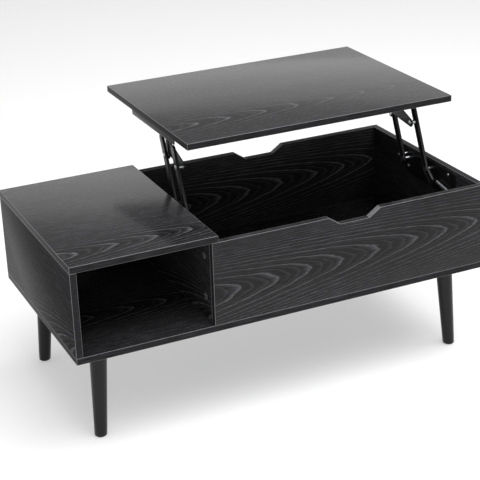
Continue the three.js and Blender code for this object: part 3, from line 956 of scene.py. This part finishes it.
def recessed(steps, reach, half, deep, sides=32):
    """A turned piece whose flat top has a cross recess."""
    made = turned(steps, sides)
    top = max(vert.co.z for vert in made.verts)
    lid = [face for face in made.faces if all(abs(vert.co.z - top) < 1e-7 for vert in face.verts)][0]
    rim = list(lid.edges)
    bmesh.ops.delete(made, geom=[lid], context="FACES_ONLY")
    mouth = [made.verts.new((u, v, top)) for u, v in cross_ring(reach, half)]
    bottom = [made.verts.new((u * 0.6, v * 0.6, top - deep)) for u, v in cross_ring(reach, half)]
    mouth_edges = [made.edges.new((mouth[i - 1], mouth[i])) for i in range(12)]
    bmesh.ops.triangle_fill(made, edges=rim + mouth_edges, use_beauty=True)
    for face in list(made.faces):
        if set(face.verts) <= set(mouth):
            made.faces.remove(face)
    for i in range(12):
        made.faces.new((mouth[i - 1], mouth[i], bottom[i], bottom[i - 1]))
    made.faces.new(bottom)
    return made


def pan_screw(name, node, body, place, shank=SCREW_IN):
    """A pan-head screw with a cross recess, its seat at the place."""
    head = [
        (SCREW_HEAD_R - 0.2 * MM, 0),
        (SCREW_HEAD_R, 0.2 * MM),
        (SCREW_HEAD_R, SCREW_HEAD_T * 0.4),
        (SCREW_HEAD_R * 0.93, SCREW_HEAD_T * 0.7),
        (SCREW_HEAD_R * 0.78, SCREW_HEAD_T * 0.92),
        (SCREW_HEAD_R * 0.62, SCREW_HEAD_T),
    ]
    steps = [(SCREW_R * 0.4, -shank - 2 * MM), (SCREW_R, -shank + MM), (SCREW_R, 0), *head]
    made = recessed(steps, 2.1 * MM, 0.45 * MM, 1.2 * MM)
    piece(name, placed(name, made, place), body, [ZINC], [node] if node else [])


# ---- one side's lift ----


def base_plate(side, screws):
    """The pressed plate on the panel, holed for its pivots and screws."""
    name = side + "_pressed_base_plate"
    holes = [circle(at, PIN_R + FIT_GAP) for at in (FRONT_BASE, REAR_BASE)]
    holes += [circle(at, SCREW_HOLE_R) for at in screws]
    mesh = flat(name, side, plate_outline(side), holes, PLATE_LAYER, 0.3 * MM)
    smooth(mesh)
    piece(name, mesh, "carcass", [STEEL], [side + "_base_plate"])


def front_arm(side, tail):
    """The bent channel arm, with the spring's pin pressed into its tail."""
    name = side + "_bent_front_arm"
    bar = channel(name, side, front_arm_outline, (FRONT_BASE, FRONT_TOP), FRONT_ARM_LAYER)
    neck = [
        (2.6 * MM, 2.6 * MM),
        (2.8 * MM, 2.9 * MM),
        (2.8 * MM, 3.6 * MM),
        (SPRING_PIN_R, 3.9 * MM),
        (SPRING_PIN_R, FRONT_ARM_LAYER[0] + ARM_SHEET),
    ]
    tail_pin = turned_mesh(name + "_pin", neck, across(side, tail), 24)
    mesh = joined(name, [bar, tail_pin])
    smooth(mesh)
    piece(name, mesh, side + "_front_arm", [STEEL], [side + "_front_arm"])


def rear_arm(side):
    """The straight channel arm."""
    name = side + "_straight_rear_arm"
    mesh = channel(name, side, rear_arm_outline, (REAR_BASE, REAR_TOP), REAR_ARM_LAYER)
    smooth(mesh)
    piece(name, mesh, side + "_rear_arm", [STEEL], [side + "_rear_arm"])


def top_rail(side, seats):
    """The folded rail: its web with two ears, the flange under the top and the outer lip."""
    name = side + "_pressed_top_rail"
    low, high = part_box(side + "_top_rail")
    bores = [circle(at, PIN_HOLE_R) for at in (FRONT_TOP, REAR_TOP)]
    web = flat(name + "_web", side, rail_outline(side), bores, RAIL_LAYER, 0.3 * MM)
    edges = rounded([(x, y, 2 * MM) for x, y in rectangle(low, high, X, Y)])
    flange = pressed(edges, [circle(at, SCREW_HOLE_R) for at in seats], RAIL_T, 0.3 * MM)
    flange.transform(Matrix.Translation((0, 0, high[Z] - RAIL_T / 2)))
    strip = rounded(
        [
            (low[Y], high[Z], 0.3 * MM),
            (low[Y], high[Z] - RAIL_DEEP, 3 * MM),
            (high[Y], high[Z] - RAIL_DEEP, 3 * MM),
            (high[Y], high[Z], 0.3 * MM),
        ]
    )
    lip = flat(name + "_lip", side, strip, [], LIP_LAYER, 0.4 * MM)
    mesh = joined(name, [web, flange, lip])
    smooth(mesh)
    piece(name, mesh, "lift_top", [STEEL], [side + "_top_rail"])


def base_rivet_steps(near):
    """A rivet fixed in the base plate: a collar under the arm's web and a domed head over it."""
    seat = near + ARM_SHEET + RUNNING_GAP
    collar = near - RUNNING_GAP
    return [
        (PIN_R, FIT_GAP),
        (PIN_R, collar - MM),
        (COLLAR_R, collar - MM),
        (COLLAR_R, collar),
        (PIN_R, collar),
        (PIN_R, seat),
        *dome(HEAD_R, seat, HEAD_T),
    ]


def top_rivet_steps(near):
    """A rivet fixed in the rail, domed at both ends, with a spacer between rail and arm."""
    seat = near + ARM_SHEET + RUNNING_GAP
    under = near - RUNNING_GAP
    spacer = RAIL_LAYER[0] - FIT_GAP
    outer = RAIL_LAYER[1] + FIT_GAP
    return [
        *[(radius, under - height) for radius, height in reversed(dome(HEAD_R, 0, HEAD_T))],
        (PIN_R, under),
        (PIN_R, seat),
        (COLLAR_R, seat),
        (COLLAR_R, spacer),
        (PIN_R, spacer),
        (PIN_R, outer),
        *dome(HEAD_R, outer, HEAD_T),
    ]


def rivets(side):
    """The four pivot rivets: two stay with the base plate and two with the rail."""
    pins = (
        ("front_base", FRONT_BASE, base_rivet_steps(FRONT_ARM_LAYER[0]), "carcass"),
        ("rear_base", REAR_BASE, base_rivet_steps(REAR_ARM_LAYER[0]), "carcass"),
        ("front_top", FRONT_TOP, top_rivet_steps(FRONT_ARM_LAYER[0]), "lift_top"),
        ("rear_top", REAR_TOP, top_rivet_steps(REAR_ARM_LAYER[0]), "lift_top"),
    )
    for kind, at, steps, body in pins:
        name = f"{side}_{kind}_rivet"
        mesh = turned_mesh(name, steps, across(side, at))
        piece(name, mesh, body, [ZINC], [f"{side}_{kind}_pin"])


def anchor_pin(side, anchor):
    """The pin that holds the spring's fixed end."""
    name = side + "_turned_anchor_pin"
    head = SPRING_LAYER + 4 * MM
    steps = [
        (SPRING_PIN_R, FIT_GAP),
        (SPRING_PIN_R, head),
        *dome(SPRING_PIN_R + MM, head, MM),
    ]
    mesh = turned_mesh(name, steps, across(side, anchor), 24)
    piece(name, mesh, "carcass", [ZINC], [side + "_spring_anchor_pin"])


def stop_pin(side, stop):
    """The shouldered pin that the raised rear arm leans on."""
    name = side + "_turned_stop_pin"
    shoulder = PLATE_LAYER[1] + FIT_GAP
    end = REAR_ARM_LAYER[1] + MM
    steps = [
        (STOP_R / 2, FIT_GAP),
        (STOP_R / 2, shoulder),
        (STOP_R - 0.3 * MM, shoulder),
        (STOP_R, shoulder + 0.3 * MM),
        (STOP_R, end - 0.6 * MM),
        (STOP_R - 0.6 * MM, end),
    ]
    mesh = turned_mesh(name, steps, across(side, stop), 28)
    piece(name, mesh, "carcass", [ZINC], [side + "_stop_pin"])


def linkage_screws(side, screws, seats):
    """Two screws through the base plate into the panel, and two through the rail into the top."""
    face, out = side_face(side)
    for number, at in zip(NUMBERS, screws):
        place = stand((face + out * PLATE_LAYER[1], at.x, at.y), (out, 0, 0))
        node = f"{side}_plate_screw_{number}"
        pan_screw(f"{side}_plate_pan_screw_{number}", node, "carcass", place)
    rail_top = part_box(side + "_top_rail")[HIGH][Z]
    for number, (x, y) in zip(NUMBERS, seats):
        place = stand((x, y, rail_top - RAIL_T), (0, 0, -1))
        node = f"{side}_rail_screw_{number}"
        pan_screw(f"{side}_rail_pan_screw_{number}", node, "lift_top", place)


def spring(side, anchor, tail):
    """The spring, wound from its anchor to the arm's tail, attached to no body."""
    name = side + "_wound_spring"
    mesh = tube(name, spring_points(side, anchor, tail), WIRE_R)
    wound = piece(name, mesh, None, [WIRE], [side + "_spring"])
    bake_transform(wound)


def linkage(side):
    """One side's lift: base plate, two arms, rail, pivots, stop, screws and spring."""
    tail = FRONT_BASE + TAIL_REACH * TAIL_LINE
    anchor = seat_in(side + "_spring_anchor_pin", Y, Z)
    screws = [seat_in(f"{side}_plate_screw_{number}", Y, Z) for number in NUMBERS]
    seats = [seat_in(f"{side}_rail_screw_{number}", X, Y) for number in NUMBERS]
    base_plate(side, screws)
    front_arm(side, tail)
    rear_arm(side)
    top_rail(side, seats)
    rivets(side)
    anchor_pin(side, anchor)
    stop_pin(side, seat_in(side + "_stop_pin", Y, Z))
    linkage_screws(side, screws, seats)
    spring(side, anchor, tail)


for side in SIDES:
    linkage(side)


# ---- cam fittings ----

CAM_R = 7 * MM
CAM_DEEP = 12 * MM
CAP_R = 7.8 * MM
CAP_T = 1.0 * MM


def cam_lock(end, number):
    """A cam with its cross-headed cap, let into the divider's cubby face."""
    node = f"cam_fitting_{end}_{number}"
    seat = (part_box(node)[LOW][X] + CAP_T, *seat_in(node, Y, Z))
    steps = [
        (CAM_R, -CAM_DEEP),
        (CAM_R, 0),
        (CAP_R, 0),
        (CAP_R, 0.5 * MM),
        (CAP_R - 0.25 * MM, 0.85 * MM),
        (CAP_R - 0.9 * MM, CAP_T),
    ]
    made = recessed(steps, 4 * MM, 0.9 * MM, 2.5 * MM, 48)
    name = f"cam_lock_{end}_{number}"
    mesh = placed(name, made, stand(seat, (-1, 0, 0)))
    piece(name, mesh, "carcass", [CAP_PLASTIC], [node])


for end in ("front", "back"):
    for number in NUMBERS:
        cam_lock(end, number)


# ---- leg fittings ----

PLATE_CORNER = 6 * MM
PLATE_SCREW_IN = 8 * MM  # screw centre from the plate's edges
BOLT_HOLE_R = 5 * MM
GLIDE_T = 2 * MM
GLIDE_NAIL_R = 1.5 * MM


def leg_plate(corner):
    """A square plate with rounded corners between leg and board, and its four screws."""
    node = "leg_plate_" + corner
    low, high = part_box(node)
    edges = rounded([(x, y, PLATE_CORNER) for x, y in rectangle(low, high, X, Y)])
    seats = [
        (x, y)
        for x in (low[X] + PLATE_SCREW_IN, high[X] - PLATE_SCREW_IN)
        for y in (low[Y] + PLATE_SCREW_IN, high[Y] - PLATE_SCREW_IN)
    ]
    holes = [circle(at, SCREW_HOLE_R) for at in seats]
    holes.append(circle(seat_in(node, X, Y), BOLT_HOLE_R))
    plate = pressed(edges, holes, high[Z] - low[Z], 0.4 * MM)
    plate.transform(Matrix.Translation((0, 0, (low[Z] + high[Z]) / 2)))
    name = "pressed_leg_plate_" + corner
    mesh = joined(name, [plate])
    smooth(mesh)
    piece(name, mesh, "carcass", [STEEL], [node])
    for number, (x, y) in enumerate(seats, 1):
        place = stand((x, y, low[Z]), (0, 0, -1))
        pan_screw(f"leg_plate_pan_screw_{corner}_{number}", None, "carcass", place, 8 * MM)


def foot_glide(corner):
    """A nail-in glide under the foot."""
    node = "foot_glide_" + corner
    low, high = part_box(node)
    wide = (high[X] - low[X]) / 2
    steps = [
        (wide - 1.2 * MM, 0),
        (wide - 0.5 * MM, 0.15 * MM),
        (wide, 0.7 * MM),
        (wide, GLIDE_T),
        (GLIDE_NAIL_R, GLIDE_T),
        (GLIDE_NAIL_R, high[Z] - MM),
        (0.5 * MM, high[Z]),
    ]
    name = "moulded_glide_" + corner
    place = Matrix.Translation((*seat_in(node, X, Y), 0))
    mesh = turned_mesh(name, steps, place)
    piece(name, mesh, "carcass", [GLIDE_PLASTIC], [node])


for corner in CORNERS:
    leg_plate(corner)
    foot_glide(corner)
    bolt = frame["nodes"]["hanger_bolt_" + corner]
    bolt.data.materials.clear()
    bolt.data.materials.append(ZINC)


# ---- floor, lights and camera ----

bpy.ops.mesh.primitive_plane_add(size=40, location=(0, 0, 0))
floor = bpy.context.object
floor.name = "studio_floor"
paper, paper_tree, paper_surface = new_material("pale_floor")
set_surface(
    paper_tree,
    paper_surface,
    base_color=hex_colour("#d2d2d2"),
    roughness=0.7,
    emission_color=(1, 1, 1, 1),
    emission_strength=0.36,  # the translucent floor is lit from below, which opens up the shadow
)
floor.data.materials.append(paper)


def softbox(name, place, aim, wide, tall, watts):
    """A rectangular area light at a place, facing a point."""
    light = bpy.data.lights.new(name, "AREA")
    light.shape = "RECTANGLE"
    light.size, light.size_y = wide, tall
    light.energy = watts
    obj = bpy.data.objects.new(name, light)
    bpy.context.collection.objects.link(obj)
    obj.location = place
    obj.rotation_mode = "QUATERNION"
    obj.rotation_quaternion = (Vector(aim) - Vector(place)).to_track_quat("-Z", "Y")


world = bpy.data.worlds.new("studio")
world.use_nodes = True
bpy.context.scene.world = world
# A bright cyclorama wall, and a dimmer ceiling over it
WALL_TOP = 0.37  # heading's rise, about 22 degrees up
CEILING_FROM = 0.45
WALL_STRENGTH = 0.8
CEILING_STRENGTH = 0.42
sky = world.node_tree
heading = add(sky, "SeparateXYZ", {0: add(sky, "TexCoord").outputs["Generated"]})
wall = add(
    sky,
    "MapRange",
    {0: heading.outputs[Z], 1: WALL_TOP, 2: CEILING_FROM, 3: WALL_STRENGTH, 4: CEILING_STRENGTH},
    interpolation_type="SMOOTHSTEP",
)
sky.links.new(wall.outputs[0], sky.nodes["Background"].inputs["Strength"])
sky.nodes["Background"].inputs["Color"].default_value = (1, 1, 1, 1)

middle = (cad_box[LOW] + cad_box[HIGH]) / 2
softbox("key_softbox", (0.5, -0.7, 3.4), middle, 3.8, 3.0, 150)
softbox("fill_softbox", (-1.2, -2.5, 1.1), front_low, 1.0, 1.0, 9)

CAMERA_TURN = math.radians(-24.656)
CAMERA_RISE = math.radians(23.517)
CAMERA_ROLL = math.radians(-1.914)
CAMERA_AWAY = 3.26778
CAMERA_AIM_OFF = Vector((0.01633, -0.02020, -0.02663))
SENSOR = 36  # in mm, as is the lens
LENS = 103.5075

back = Vector(
    (
        math.sin(CAMERA_TURN) * math.cos(CAMERA_RISE),
        -math.cos(CAMERA_TURN) * math.cos(CAMERA_RISE),
        math.sin(CAMERA_RISE),
    )
)
right = Vector((math.cos(CAMERA_TURN), math.sin(CAMERA_TURN), 0))
up = back.cross(right)
tilted_right = right * math.cos(CAMERA_ROLL) + up * math.sin(CAMERA_ROLL)
tilted_up = up * math.cos(CAMERA_ROLL) - right * math.sin(CAMERA_ROLL)
camera = bpy.data.objects.new("camera", bpy.data.cameras.new("camera"))
bpy.context.collection.objects.link(camera)
camera.data.sensor_width = SENSOR
camera.data.lens = LENS
camera.data.clip_end = 60
place = middle + CAMERA_AIM_OFF + back * CAMERA_AWAY
turn = Matrix((tilted_right, tilted_up, back)).transposed().to_4x4()
camera.matrix_world = Matrix.Translation(place) @ turn
bpy.context.scene.camera = camera
bpy.context.scene.view_settings.view_transform = "Standard"
